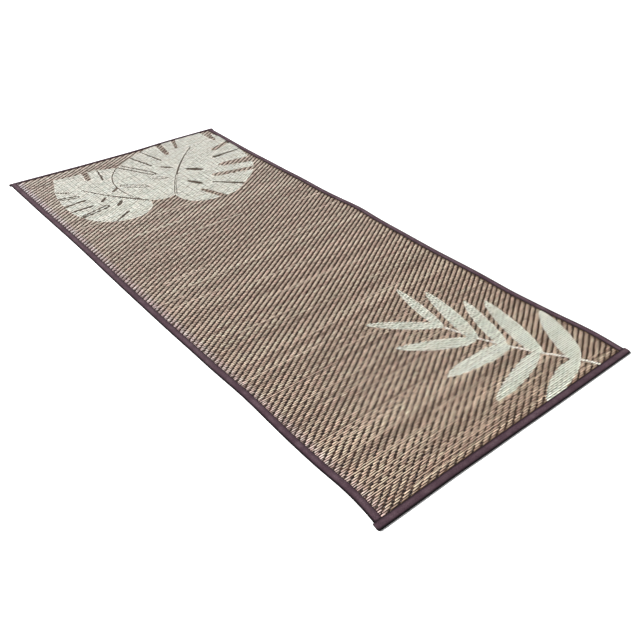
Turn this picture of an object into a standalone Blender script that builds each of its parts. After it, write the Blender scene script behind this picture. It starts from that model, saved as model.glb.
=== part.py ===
"""A woven rush mat bound with cloth tape, lying flat on the ground.

X runs along the mat, from its far short side to its near one, and Y across it. The origin is the
middle of the underside. Every piece is worked out on a perfectly straight mat first, and then
lie() moves each of its points to where it lies on this slightly uneven one.
"""
import math

import bmesh
import bpy
from mathutils import Vector
from mathutils.geometry import delaunay_2d_cdt

# Main sizes, in metres
LENGTH = 1.800
WIDTH = 0.800
TAPE_WIDTH = 0.0185  # what shows of the tape on three sides
FAR_TAPE_WIDTH = 0.0125  # the far side is bound nearer its edge
TAPE_CLOTH = 0.0010
GAP = 0.0003  # between pieces that touch
SQUEEZED = 0.0020  # the panel's thickness inside the tape
EDGE_SLOPE = 0.0015  # where the panel swells from the tape to its full thickness

# The twill's ribs, which run slantwise over the whole panel
RIB_PITCH = 0.0151  # from one rib to the next, along X
RIB_LEAN = 0.597  # how far a rib moves along -X for each metre along Y
RIB_HEIGHT = 0.0005
RIB_PROFILE = ((0.0, 0.0), (0.22, 0.78), (0.5, 1.0), (0.78, 0.78))  # (share of pitch, share of height)

# The tape's end at each corner, turned in and sewn down
CORNER_OUT = 0.003  # how far it stands out past the long side
CORNER_ROUND = 0.005
END_TURN_IN = 0.005  # thickness of the turned-in end

# Levels above the ground
RIM_LOW = TAPE_CLOTH + GAP
RIM_HIGH = RIM_LOW + SQUEEZED
TAPE_TOP = RIM_HIGH + GAP + TAPE_CLOTH
FOLD_RADIUS = TAPE_TOP / 2

# How finely the sides and the tape's fold are divided
LONG_STEPS = 50
SHORT_STEPS = 22
OUTER_FOLD_STEPS = 4
INNER_FOLD_STEPS = 2
MERGE = 1e-6

# How uneven each side is: (place along the side, how far in it lies there, spread)
FRONT_BULGES = (
    (-0.380, 0.0026, 0.190),
    (0.260, 0.0012, 0.080),
    (0.460, 0.0046, 0.110),
    (0.790, 0.0033, 0.060),
    (0.930, -0.0090, 0.055),
)
BACK_BULGES = (
    (-0.630, 0.0052, 0.170),
    (-0.420, 0.0022, 0.090),
    (-0.220, 0.0024, 0.080),
    (-0.040, -0.0070, 0.075),
    (0.290, 0.0032, 0.110),
    (0.560, 0.0036, 0.080),
    (0.800, -0.0085, 0.090),
)
FAR_BULGES = (
    (-0.100, 0.0088, 0.220),
    (0.070, 0.0035, 0.090),
)
NEAR_BULGES = (
    (-0.200, 0.0016, 0.110),
    (-0.020, 0.0008, 0.080),
)
STIFF_RIM = 0.030  # this much of the mat moves with its side
CALM = 0.250  # from here inwards a side's unevenness is gone

RUSH_COLOUR = (0.40, 0.30, 0.22, 1.0)
TAPE_COLOUR = (0.070, 0.038, 0.053, 1.0)


def bulge(bulges, place):
    return sum(depth * math.exp(-(((place - at) / spread) ** 2)) for at, depth, spread in bulges)


def hold(distance):
    """How much of a side's unevenness is left at a distance in from it, from 1 to 0."""
    share = min(max((CALM - distance) / (CALM - STIFF_RIM), 0.0), 1.0)
    return share * share * (3 - 2 * share)


def lie(x, y, z):
    """Where a point of a perfectly straight mat lies on this one."""
    from_far, from_near = x + LENGTH / 2, LENGTH / 2 - x
    from_front, from_back = y + WIDTH / 2, WIDTH / 2 - y
    along = hold(from_far) * bulge(FAR_BULGES, y) - hold(from_near) * bulge(NEAR_BULGES, y)
    across = hold(from_front) * bulge(FRONT_BULGES, x) - hold(from_back) * bulge(BACK_BULGES, x)
    return Vector((x + along, y + across, z))


def stops_between(first, last, whole, steps):
    """The side's common steps that fall between first and last, with first and last at the ends."""
    regular = [whole * (k / steps - 0.5) for k in range(steps + 1)]
    clear = whole / steps / 4
    return [first] + [place for place in regular if first + clear < place < last - clear] + [last]


def rush_material():
    return plain_material("rush", RUSH_COLOUR, 0.65)


def tape_material():
    return plain_material("binding_cloth", TAPE_COLOUR, 0.85)


def plain_material(name, colour, roughness):
    material = bpy.data.materials.new(name)
    material.use_nodes = True
    shader = material.node_tree.nodes["Principled BSDF"]
    shader.inputs["Base Color"].default_value = colour
    shader.inputs["Roughness"].default_value = roughness
    shader.inputs["Metallic"].default_value = 0.0
    return material


def finish_object(name, shape, material):
    """Turns the bmesh into an object of the scene."""
    bmesh.ops.recalc_face_normals(shape, faces=shape.faces[:])
    mesh = bpy.data.meshes.new(name)
    shape.to_mesh(mesh)
    shape.free()
    mesh.materials.append(material)
    thing = bpy.data.objects.new(name, mesh)
    bpy.context.collection.objects.link(thing)
    return thing


def rectangle(inset, far_inset):
    """The corners and steps of a ring at an inset from the straight mat's sides, turning left."""
    low_x, high_x = -LENGTH / 2 + far_inset, LENGTH / 2 - inset
    high_y = WIDTH / 2 - inset
    along = stops_between(low_x, high_x, LENGTH, LONG_STEPS)
    across = stops_between(-high_y, high_y, WIDTH, SHORT_STEPS)
    front = [(x, -high_y) for x in along[:-1]]
    near = [(high_x, y) for y in across[:-1]]
    back = [(x, high_y) for x in reversed(along[1:])]
    far = [(low_x, y) for y in reversed(across[1:])]
    return front + near + back + far


def crease(lean_place, low_x, high_x, high_y):
    """The two ends of the line x + RIB_LEAN * y = lean_place inside the field, or None."""
    ends = []
    for y in (-high_y, high_y):
        x = min(max(lean_place - RIB_LEAN * y, low_x), high_x)
        ends.append(((x, (lean_place - x) / RIB_LEAN)))
    (x_a, y_a), (x_b, y_b) = ends
    if max(abs(y_a), abs(y_b)) > high_y + MERGE or math.hypot(x_a - x_b, y_a - y_b) < RIB_PITCH / 4:
        return None
    return ends


def rib_creases(low_x, high_x, high_y):
    """Every line along which the ribs change slope."""
    reach = RIB_LEAN * high_y
    first = math.floor((low_x - reach) / RIB_PITCH)
    last = math.ceil((high_x + reach) / RIB_PITCH)
    lines = []
    for rib in range(first, last + 1):
        for share, _ in RIB_PROFILE:
            ends = crease((rib + share) * RIB_PITCH, low_x, high_x, high_y)
            if ends:
                lines.append(ends)
    return lines


def rib_height(x, y):
    """The rib's height at a place, from its profile, with straight slopes between the creases."""
    share = ((x + RIB_LEAN * y) / RIB_PITCH) % 1.0
    profile = RIB_PROFILE + ((1.0, 0.0),)
    for (a, low), (b, high) in zip(profile, profile[1:]):
        if share <= b:
            return RIB_HEIGHT * (low + (high - low) * (share - a) / (b - a))
    return 0.0


def filled(rings, lines):
    """Triangles that fill the outermost ring and have an edge along each ring and line."""
    points, edges = [], []
    for ring in rings:
        first = len(points)
        points += ring
        edges += [(first + k, first + (k + 1) % len(ring)) for k in range(len(ring))]
    for line in lines:
        edges.append((len(points), len(points) + 1))
        points += line
    flat = [Vector(point) for point in points]
    spots, _, faces, came_from, _, _ = delaunay_2d_cdt(flat, edges, [], 0, MERGE)
    now_at = {old: new for new, olds in enumerate(came_from) for old in olds}
    return spots, faces, [now_at[k] for k in range(len(rings[0]))]


def woven_panel(material):
    """One sheet: flat below, ribbed above, and squeezed thinner where the tape holds it."""
    rim = rectangle(FOLD_RADIUS, FOLD_RADIUS)
    tape_edge = rectangle(TAPE_WIDTH + GAP, FAR_TAPE_WIDTH + GAP)
    field_inset = TAPE_WIDTH + GAP + EDGE_SLOPE
    far_inset = FAR_TAPE_WIDTH + GAP + EDGE_SLOPE
    field = rectangle(field_inset, far_inset)
    low_x, high_x = -LENGTH / 2 + far_inset, LENGTH / 2 - field_inset
    high_y = WIDTH / 2 - field_inset

    def in_field(x, y):
        return low_x - MERGE <= x <= high_x + MERGE and abs(y) <= high_y + MERGE

    def top(x, y):
        return RIM_HIGH + (rib_height(x, y) if in_field(x, y) else 0.0)

    def bottom(x, y):
        return 0.0 if in_field(x, y) else RIM_LOW

    shape = bmesh.new()
    borders = []
    for level, lines in ((top, rib_creases(low_x, high_x, high_y)), (bottom, [])):
        spots, faces, border = filled([rim, tape_edge, field], lines)
        corners = [shape.verts.new(lie(x, y, level(x, y))) for x, y in spots]
        for face in faces:
            shape.faces.new([corners[k] for k in face])
        borders.append([corners[k] for k in border])
    upper, lower = borders
    for k in range(len(upper)):
        shape.faces.new([upper[k - 1], upper[k], lower[k], lower[k - 1]])
    return finish_object("woven_panel", shape, material)


def fold_section(width):
    """The tape's outer and inner outlines, as (distance in from the side, height) from leg to leg."""

    def around(radius, steps, leg):
        turns = [math.pi * (k / steps - 0.5) for k in range(steps + 1)]
        bend = [(FOLD_RADIUS - radius * math.cos(a), FOLD_RADIUS + radius * math.sin(a)) for a in turns]
        return [(leg, FOLD_RADIUS - radius)] + bend + [(leg, FOLD_RADIUS + radius)]

    return (
        around(FOLD_RADIUS, OUTER_FOLD_STEPS, width),
        around(FOLD_RADIUS - TAPE_CLOTH, INNER_FOLD_STEPS, width),
    )


def strips(shape, rows):
    """Quads between neighbouring rows of corners."""
    for row, following in zip(rows, rows[1:]):
        for k in range(len(row) - 1):
            shape.faces.new([row[k], row[k + 1], following[k + 1], following[k]])


def folded_tape(name, outer_rows, inner_rows, closed_ends, material):
    """Tape folded over the rim. Closed ends are turned in, and open ones show the cut cloth."""
    shape = bmesh.new()
    outer = [[shape.verts.new(point) for point in row] for row in outer_rows]
    inner = [[shape.verts.new(point) for point in row] for row in inner_rows]
    strips(shape, outer)
    strips(shape, inner)
    for leg in (0, -1):
        strips(shape, [[a[leg], b[leg]] for a, b in zip(outer, inner)])
    for end in (0, -1):
        if closed_ends:
            shape.faces.new(outer[end])
            shape.faces.new(inner[end])
            shape.faces.new([outer[end][0], outer[end][-1], inner[end][-1], inner[end][0]])
        else:
            shape.faces.new(outer[end] + inner[end][::-1])
    return finish_object(name, shape, material)


def long_tape(name, side, material):
    """The tape on a long side (side is -1 at the front and 1 at the back), cut off at both ends."""
    first = -LENGTH / 2 + FAR_TAPE_WIDTH + GAP
    last = LENGTH / 2 - TAPE_WIDTH - GAP
    rows = [
        [
            [lie(x, side * (WIDTH / 2 - inward), z) for inward, z in outline]
            for x in stops_between(first, last, LENGTH, LONG_STEPS)
        ]
        for outline in fold_section(TAPE_WIDTH)
    ]
    return folded_tape(name, *rows, False, material)


def corner_cut(from_end):
    """How far in the tape's fold lies near its end, which makes the corner round from above."""
    short_of = max(CORNER_ROUND - from_end, 0.0)
    return CORNER_ROUND - math.sqrt(CORNER_ROUND**2 - short_of**2)


def short_tape(name, end, width, material):
    """The tape on a short side (end is -1 at the far one and 1 at the near one), over both corners."""
    half = WIDTH / 2 + CORNER_OUT
    corner = [half - CORNER_ROUND * share for share in (1.0, 0.6, 0.25, 0.06, 0.0)]
    middle = stops_between(-corner[0], corner[0], WIDTH, SHORT_STEPS)[1:-1]
    outer_stops = [-y for y in reversed(corner)] + middle + corner
    inner_share = (half - END_TURN_IN) / half
    outer_outline, inner_outline = fold_section(width)
    outer_rows = []
    for y in outer_stops:
        cut = corner_cut(half - abs(y))
        folds = [(cut + inward * (1 - cut / width), z) for inward, z in outer_outline]
        outer_rows.append([lie(end * (LENGTH / 2 - inward), y, z) for inward, z in folds])
    inner_rows = [
        [lie(end * (LENGTH / 2 - inward), y * inner_share, z) for inward, z in inner_outline]
        for y in outer_stops
    ]
    return folded_tape(name, outer_rows, inner_rows, True, material)


def build():
    for thing in list(bpy.data.objects):
        bpy.data.objects.remove(thing, do_unlink=True)
    rush = rush_material()
    cloth = tape_material()
    woven_panel(rush)
    long_tape("binding_front", -1, cloth)
    long_tape("binding_back", 1, cloth)
    short_tape("binding_far", -1, FAR_TAPE_WIDTH, cloth)
    short_tape("binding_near", 1, TAPE_WIDTH, cloth)


build()
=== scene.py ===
"""The looks of a woven rush mat with leaf motifs, bound with dark cloth tape.

X runs along the mat from its far short side to its near one, and Y across it. Everything is worked
out on a perfectly straight mat first. lie() then moves each point to where it lies on this slightly
uneven one, as in the CAD model, whose sizes are repeated here.
"""
import math

import bpy
import numpy as np
from mathutils import Matrix, Vector


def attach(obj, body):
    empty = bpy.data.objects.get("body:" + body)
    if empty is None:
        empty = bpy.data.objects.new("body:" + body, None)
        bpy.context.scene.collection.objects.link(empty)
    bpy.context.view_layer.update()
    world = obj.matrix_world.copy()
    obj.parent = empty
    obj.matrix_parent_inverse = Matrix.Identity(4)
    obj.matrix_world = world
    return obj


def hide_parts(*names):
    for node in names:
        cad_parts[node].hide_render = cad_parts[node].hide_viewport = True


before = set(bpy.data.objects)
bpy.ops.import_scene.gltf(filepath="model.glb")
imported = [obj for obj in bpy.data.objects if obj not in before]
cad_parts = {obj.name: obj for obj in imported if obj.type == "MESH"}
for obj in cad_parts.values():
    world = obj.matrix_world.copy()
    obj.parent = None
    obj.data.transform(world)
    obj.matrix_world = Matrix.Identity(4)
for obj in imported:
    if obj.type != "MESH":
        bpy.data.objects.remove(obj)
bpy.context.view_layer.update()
chance = np.random.default_rng(7)

# The CAD model's sizes, in metres
LENGTH = 1.800
WIDTH = 0.800
TAPE_WIDTH = 0.0185
FAR_TAPE_WIDTH = 0.0125
TAPE_CLOTH = 0.0010
GAP = 0.0003
SQUEEZED = 0.0020
RIB_PITCH = 0.0151
RIB_LEAN = 0.597
CORNER_OUT = 0.003
CORNER_ROUND = 0.005
END_TURN_IN = 0.005
RIM_LOW = TAPE_CLOTH + GAP
RIM_HIGH = RIM_LOW + SQUEEZED
TAPE_TOP = RIM_HIGH + GAP + TAPE_CLOTH
FOLD_RADIUS = TAPE_TOP / 2

# How uneven each side is: (place along the side, how far in it lies there, spread)
FRONT_BULGES = (
    (-0.380, 0.0026, 0.190),
    (0.260, 0.0012, 0.080),
    (0.460, 0.0046, 0.110),
    (0.790, 0.0033, 0.060),
    (0.930, -0.0090, 0.055),
)
BACK_BULGES = (
    (-0.630, 0.0052, 0.170),
    (-0.420, 0.0022, 0.090),
    (-0.220, 0.0024, 0.080),
    (-0.040, -0.0070, 0.075),
    (0.290, 0.0032, 0.110),
    (0.560, 0.0036, 0.080),
    (0.800, -0.0085, 0.090),
)
FAR_BULGES = (
    (-0.100, 0.0088, 0.220),
    (0.070, 0.0035, 0.090),
)
NEAR_BULGES = (
    (-0.200, 0.0016, 0.110),
    (-0.020, 0.0008, 0.080),
)
STIFF_RIM = 0.030
CALM = 0.250

# The weave: straws run along Y, and pairs of them dip under a dark float where two ribs meet
PICK_PITCH = RIB_PITCH / 3
STRAW_PITCH = PICK_PITCH / 2
CROSS_PITCH = RIB_PITCH / RIB_LEAN
WARP_PITCH = CROSS_PITCH / 3
STRAW_END = WIDTH / 2 - 0.009
HIGH = 0.0039
CROWN = 0.0041
DIP = 0.0025
FLOAT_LEVEL = 0.0034
# How much painted highlight a straw gets where it runs over the ribs
OVER_HIGHLIGHT = 0.40
LOOSE_LEVEL = 0.0045
UNDER_TAPE = 0.0031
CLEAR_OF_TAPE = 0.0020
RISE_BESIDE_TAPE = 0.0012
SHADE_REACH = (0.0022, 0.0034, 0.0090)  # distances from the tape at which its shade on the straws changes
FRONT_SHADE_REACH = (0.0012, 0.0030)
GROUND_DROPS = ((0.0015, 0.0006), (0.0006, 0.0015))  # of a left and a right straw's edges
LEAF_DROPS = ((0.0011, 0.0004), (0.0004, 0.0011))
# Painted shade at a left and a right straw's two sides, most at the outer side where the picks meet
GROUND_EDGE_SHADE = ((1.0, 0.15), (0.15, 1.0))
LEAF_EDGE_SHADE = ((0.75, 0.15), (0.15, 0.75))
PALE_HIGH = 0.0041
PALE_LOW = 0.0031
SEAM_LEVEL = 0.0036
SHEET_TOP = 0.0018
GROUND_MARGIN = 0.0004  # between the end of a straw's run and the first place where it bends
LEAF_MARGIN = 0.0003
LONGEST_SLIP = 0.0030
WANDER = 0.00010
STRAWS_FROM_END = 0.0065
PAIRED = 0.17  # share of the pitch by which the two straws of a pick are drawn together
STEPPED = 0.15  # how far the two also share one place for each float, from 0 to 1
STRAW_WIDTH = 0.0018
LEAF_STRAW_WIDTH = 0.0021
STRAND_WIDTH = 0.0009
FLOAT_LENGTH = 0.0080
FLOAT_WIDTH = 0.0024
DIP_SLOPE = 0.0017
SEAM_SHARE = 0.80
# How much lighter the long tapes are than the short ones
LONG_TAPES_LIGHTER = 0.35
STITCH_PITCH = 0.0038
STITCH_LENGTH = 0.0027
STITCH_WIDTH = 0.0007
ATLAS_SIDE = 147  # floats in a row of their baked picture
BLEACH = (1.16, 1.18, 1.50, 1.0)  # how much paler and cooler the straws are beside the front tape
BLEACHED_BAND = 0.026

# The sheet below the straws: its flat rim under the tape, and where its weave begins inside that
RIM_INWARD = 0.0188
WEAVE_FROM_END = 0.0205
WEAVE_FROM_SIDE = 0.0203
BASE_ROWS = 121

SEAM_MARGIN = 0.003
FLOOR_REACH = 30.0
MM = 0.001


# The mat's slight unevenness


def bulge(bulges, place):
    return sum(depth * np.exp(-(((place - at) / spread) ** 2)) for at, depth, spread in bulges)


def hold(distance):
    """How much of a side's unevenness is left at a distance in from it, from 1 to 0."""
    share = np.clip((CALM - distance) / (CALM - STIFF_RIM), 0.0, 1.0)
    return share * share * (3 - 2 * share)


def lie(points):
    """Where points of a perfectly straight mat lie on this one."""
    x, y, z = points[..., 0], points[..., 1], points[..., 2]
    along = hold(x + LENGTH / 2) * bulge(FAR_BULGES, y) - hold(LENGTH / 2 - x) * bulge(NEAR_BULGES, y)
    across = hold(y + WIDTH / 2) * bulge(FRONT_BULGES, x) - hold(WIDTH / 2 - y) * bulge(BACK_BULGES, x)
    return np.stack([x + along, y + across, z], axis=-1)


# The leaf motifs, in millimetres from the mat's far front corner

OUTSIDE = -1000.0

# Slits from a leaf's edge inwards: (outer end, inner end, width outside, width inside)
BIG_LEAF_BASE = (412.0, 399.0)
BIG_LEAF_TIP_ANGLE = math.radians(139.0)
BIG_LEAF_SLITS = (
    ((338, 788), (306, 636), 48, 32),
    ((402, 722), (364, 569), 24, 28),
    ((486, 624), (406, 541), 14, 8),
    ((524, 518), (430, 482), 22, 19),
    ((234, 752), (239, 654), 9, 15.5),
    ((-10, 758), (112, 750), 44, 10),
    ((22, 618), (86, 594), 16, 13),
    ((5, 557), (116, 539), 24, 22),
    ((40, 474), (150, 495), 6, 10),
    ((66, 421), (168, 446), 8, 10),
    ((156, 768), (184, 688), 20, 26),
)
BIG_LEAF_OUTLINED = (
    ((97, 352), (238, 424), 24, 26),
)
BIG_LEAF_HOLES = (
    ((306, 574), (262, 526), 20),
    ((228, 497), (192, 465), 14),
    ((403, 512), (348, 480), 18),
)
BIG_LEAF_OUTLINED_HOLES = (
    ((289, 442), (256, 397), 23),
    ((306, 360), (244, 282), 22),
)
BIG_LEAF_RIB = ((104, 645), (415, 398), -20)

SMALL_LEAF_BASE = (375.0, 305.0)
SMALL_LEAF_TIP_ANGLE = math.radians(208.0)
SMALL_LEAF_SLITS = (
    ((60, 280), (168, 259), 5, 9),
    ((60, 236), (140, 219), 20, 20),
    ((160, 94), (187, 129), 6, 10),
    ((276, 74), (270, 151), 9, 10),
    ((323, 84), (319, 156), 9, 10),
    ((460, 162), (422, 227), 6, 10),
)
SMALL_LEAF_OUTLINED = (
    ((218, 88), (236, 144), 19, 20),
    ((375, 80), (350, 192), 15, 23),
)
SMALL_LEAF_HOLES = (
    ((343, 239), (372, 211), 14),
    ((290, 211), (316, 181), 11),
    ((247, 275), (272, 241), 11),
)
SMALL_LEAF_RIB = ((197, 168), (388, 303), -8)
SMALL_LEAF_CUT = 68.0

# The palm frond: its stem, and leaflets as (base, tip, width, bow)
FROND_STEM = ((1796, 716), (1742, 684), (1670, 636), (1600, 595), (1540, 565), (1455, 534))
STEM_WIDTH = 6.5
LEAFLETS = (
    ((1738, 675), (1563, 777), 52, 1),
    ((1735, 681), (1782, 509), 41, -3),
    ((1669, 631), (1446, 706), 47, 2),
    ((1662, 631), (1712, 423), 38, 1),
    ((1599, 593), (1413, 663), 38, 2),
    ((1602, 600), (1590, 400), 44, -2),
    ((1540, 559), (1323, 613), 41, -2),
    ((1541, 557), (1446, 384), 39, 3),
    ((1458, 531), (1267, 562), 30, 0),
    ((1450, 532), (1331, 390), 32, 0),
)
OUTLINE = 7.0
THIN_OUTLINE = 5.0
LEAF_BORDER = 5.5


def on_chord(s, t, start, end):
    """The share of the way from start to end, and the distance to the left of that line."""
    run, rise = end[0] - start[0], end[1] - start[1]
    length = math.hypot(run, rise)
    share = ((s - start[0]) * run + (t - start[1]) * rise) / length**2
    left = ((t - start[1]) * run - (s - start[0]) * rise) / length
    return share, left


def leaflet(s, t, base, tip, width, bow):
    """How far inside a pointed leaflet each place is, with its widest part nearer the base."""
    share, left = on_chord(s, t, base, tip)
    share = np.clip(share, 0.0, 1.0)
    half = width / 2 * share**0.40 * (1 - share) ** 0.62 / 0.5052
    inside = half - abs(left - bow * 4 * share * (1 - share))
    return np.where((share > 0.0) & (share < 1.0), inside, OUTSIDE)


def slit(s, t, outer, inner, wide, narrow):
    """How far inside a slit: it is open at its outer end and round at its inner one."""
    share, left = on_chord(s, t, outer, inner)
    inward = np.clip(share, 0.0, 1.0)
    rounded = np.sqrt(np.clip(1 - (np.clip(inward - 0.80, 0, 1) / 0.20) ** 2, 0, 1))
    half = (wide + (narrow - wide) * inward) / 2 * rounded
    return np.where((share > -0.6) & (share < 1.0), half - abs(left), OUTSIDE)


def hole(s, t, start, end, width):
    share, left = on_chord(s, t, start, end)
    share = np.clip(share, 0.0, 1.0)
    inside = width / 2 * (4 * share * (1 - share)) ** 0.4 - abs(left)
    return np.where((share > 0.0) & (share < 1.0), inside, OUTSIDE)


def stripe(s, t, start, end, bow, width_start, width_end):
    """How far inside a stripe along a bowed line."""
    share, left = on_chord(s, t, start, end)
    inside = np.clip(share, 0.0, 1.0)
    half = (width_start + (width_end - width_start) * inside) / 2
    depth = half - abs(left - bow * 4 * inside * (1 - inside))
    return np.where((share > 0.0) & (share < 1.0), depth, OUTSIDE)


def from_base(s, t, base, tip_angle):
    """Distance from a leaf's base, and the angle away from its tip's direction."""
    away = np.hypot(s - base[0], t - base[1])
    turn = np.arctan2(t - base[1], s - base[0]) - tip_angle
    return away, (turn + math.pi) % (2 * math.pi) - math.pi


def in_big_leaf(s, t):
    """How far inside the big leaf's heart-shaped outline each place is."""
    away, turn = from_base(s, t, BIG_LEAF_BASE, BIG_LEAF_TIP_ANGLE)
    point = 1 + 0.25 * np.exp(-((turn / math.radians(20.0)) ** 2))
    lobe = 30.0 * np.exp(-(((abs(turn) - math.radians(125.0)) / math.radians(25.0)) ** 2))
    dent = 24.0 * np.exp(-(((turn + math.radians(62.0)) / math.radians(14.0)) ** 2))
    return 420.0 * np.cos(turn / 2) ** 2.75 * point + lobe - dent - away


def in_small_leaf(s, t):
    """The small leaf's outline, whose upper half is the wider one."""
    away, turn = from_base(s, t, SMALL_LEAF_BASE, SMALL_LEAF_TIP_ANGLE)
    reach = 293.0 - 32.0 * np.tanh(turn / math.radians(8.0))
    point = 1 + 0.26 * np.exp(-((turn / math.radians(26.0)) ** 2))
    edge = SMALL_LEAF_CUT + 0.42 * np.clip(t - 265.0, 0, None) - 0.25 * np.clip(160.0 - t, 0, None)
    return np.minimum(reach * np.cos(turn / 2) ** 1.15 * point - away, s - edge)


GROUND, PALE, LINE, STEM = 0, 1, 2, 3


def cut_leaf(s, t, kind, outline, slits, outlined, holes, outlined_holes, rib):
    """Fills a leaf's outline with pale straw, less its slits, holes, outlines and midrib."""
    kind[outline > 0] = PALE
    leaf = outline > 0
    for piece in slits:
        depth = slit(s, t, *piece)
        narrow = max(piece[2:]) < 16
        kind[leaf & (depth > 0)] = LINE if narrow else GROUND
    for piece in outlined:
        depth = slit(s, t, *piece)
        kind[leaf & (depth > 0) & (depth < OUTLINE)] = LINE
    for piece in holes:
        kind[leaf & (hole(s, t, *piece) > 0)] = LINE
    for piece in outlined_holes:
        depth = hole(s, t, *piece)
        kind[leaf & (depth > 0) & (depth < THIN_OUTLINE)] = LINE
    tip, base, bow = rib
    kind[leaf & (stripe(s, t, tip, base, bow, 4.5, 10.0) > 0)] = LINE


def kinds_at(s, t):
    """Which weave shows at each place, in millimetres."""
    kind = np.full(s.shape, GROUND)
    big, small = in_big_leaf(s, t), in_small_leaf(s, t)
    cut_leaf(s, t, kind, small, SMALL_LEAF_SLITS, SMALL_LEAF_OUTLINED, SMALL_LEAF_HOLES, (), SMALL_LEAF_RIB)
    kind[(small > 0) & (big > -LEAF_BORDER) & (big <= 0)] = LINE
    cut_leaf(
        s, t, kind, big, BIG_LEAF_SLITS, BIG_LEAF_OUTLINED,
        BIG_LEAF_HOLES, BIG_LEAF_OUTLINED_HOLES, BIG_LEAF_RIB,
    )
    tip, base, bow = BIG_LEAF_RIB
    share, _ = on_chord(s, t, tip, base)
    kind[(share > 0.62) & (stripe(s, t, tip, base, bow + 1, 3.0, 3.0) > 0)] = PALE
    for start, end in zip(FROND_STEM, FROND_STEM[1:]):
        kind[stripe(s, t, start, end, 0, STEM_WIDTH, STEM_WIDTH) > 0] = STEM
    for piece in LEAFLETS:
        kind[leaflet(s, t, *piece) > 0] = PALE
    return kind


MOTIF_FREE = (530.0, 1255.0)
MASK_STEP = 0.0005
SHORTEST_RUN = 0.0015
SLITS_END = -0.35  # no slit lies further along the mat than this
SLIT_LENGTH = 0.045  # a stretch of ground shorter than this is a slit in a leaf


def kinds_along(x, slip):
    """Places along a straw, and the kind of weave at each, which has slipped along it a little."""
    s = (x + LENGTH / 2) / MM
    y = np.arange(-STRAW_END, STRAW_END, MASK_STEP)
    if MOTIF_FREE[0] < s < MOTIF_FREE[1]:
        return y, np.full(y.shape, GROUND)
    return y, kinds_at(np.full(y.shape, s), (y + slip + WIDTH / 2) / MM)


def runs_along(y, kind):
    """The stretches of one kind of weave along a straw, as (kind, from, to)."""
    changes = np.flatnonzero(np.diff(kind)) + 1
    starts = [0, *changes]
    ends = [*changes, len(y)]
    runs = []
    for first, last in zip(starts, ends):
        low = -STRAW_END if first == 0 else y[first] - MASK_STEP / 2
        high = STRAW_END if last == len(y) else y[last] - MASK_STEP / 2
        if runs and (high - low < SHORTEST_RUN or runs[-1][0] == kind[first]):
            runs[-1] = (runs[-1][0], runs[-1][1], high)
        else:
            runs.append((int(kind[first]), low, high))
    return runs


# Meshes


def quads_between(index):
    """The quads between the points of a grid, from the points' numbers."""
    corners = [index[:-1, :-1], index[:-1, 1:], index[1:, 1:], index[1:, :-1]]
    return np.stack(corners, axis=-1).reshape(-1, 4)


class Pile:
    """Strips of quads, three points wide, in one mesh, each with its own place in the baked picture."""

    def __init__(self):
        self.points, self.quads, self.places, self.tones = [], [], [], []
        self.count = 0

    def add(self, points, u, v, tone, painted_shade, edge_shade=(1.0, 1.0)):
        """points is (sections, 3, 3). u and the painted shade have a value for each section, and v one for
        each column. The shade is painted into the colour: darker where the straw lies low, lighter below 0,
        and darker still at its two sides as the sides' values say.
        """
        sections = len(points)
        index = self.count + np.arange(3 * sections).reshape(sections, 3)
        self.points.append(points.reshape(-1, 3))
        self.quads.append(quads_between(index))
        self.places.append(np.stack(np.meshgrid(u, v, indexing="ij"), axis=-1).reshape(-1, 2))
        # Painted shade: how low the straw lies, and more of it at its two sides, standing for the shade
        # between straws
        depth = [np.maximum(painted_shade, edge_shade[0]), painted_shade, np.maximum(painted_shade, edge_shade[1])]
        depth = np.stack(depth, axis=1).reshape(-1, 1)
        self.tones.append(np.hstack([np.full((len(depth), len(tone)), tone), depth]))
        self.count += 3 * sections

    def finish(self, name, material):
        points = np.concatenate(self.points)
        quads = np.concatenate(self.quads)
        places = np.concatenate(self.places)
        tones = np.concatenate(self.tones)
        mesh = bpy.data.meshes.new(name)
        mesh.vertices.add(len(points))
        mesh.vertices.foreach_set("co", lie(points).ravel())
        mesh.loops.add(quads.size)
        mesh.loops.foreach_set("vertex_index", quads.ravel())
        mesh.polygons.add(len(quads))
        mesh.polygons.foreach_set("loop_start", np.arange(0, quads.size, 4))
        mesh.update(calc_edges=True)
        mesh.shade_smooth()
        atlas = mesh.uv_layers.new(name="OFBake")
        atlas.data.foreach_set("uv", places[quads.ravel()].ravel())
        # The last of these is the shade painted into the straws' colour
        for k, label in enumerate(("tone", "warmth", "painted_shade")):
            mesh.attributes.new(label, "FLOAT", "POINT").data.foreach_set("value", tones[:, k].copy())
        mesh.materials.append(material)
        thing = bpy.data.objects.new(name, mesh)
        bpy.context.collection.objects.link(thing)
        return thing


def distance_from_tape(x, y):
    ends = np.minimum(x + LENGTH / 2 - FAR_TAPE_WIDTH, LENGTH / 2 - TAPE_WIDTH - x)
    return np.minimum(ends, WIDTH / 2 - TAPE_WIDTH - abs(y))


def level_limit(x, y):
    """How high a straw may stand at a place, so that it fits under the tape."""
    clear = np.clip((distance_from_tape(x, y) - GAP) / CLEAR_OF_TAPE, 0.0, 1.0)
    return UNDER_TAPE + clear * RISE_BESIDE_TAPE


def strip(x, y, z, half_width, drops, wander):
    """A straw's surface, from one edge over its crown to the other edge."""
    z = np.minimum(z, level_limit(x, y))
    centre = x + wander
    left = np.stack([centre - half_width, y, z - drops[0]], axis=-1)
    crown = np.stack([centre, y, z], axis=-1)
    right = np.stack([centre + half_width, y, z - drops[1]], axis=-1)
    return np.stack([left, crown, right], axis=1)


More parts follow.
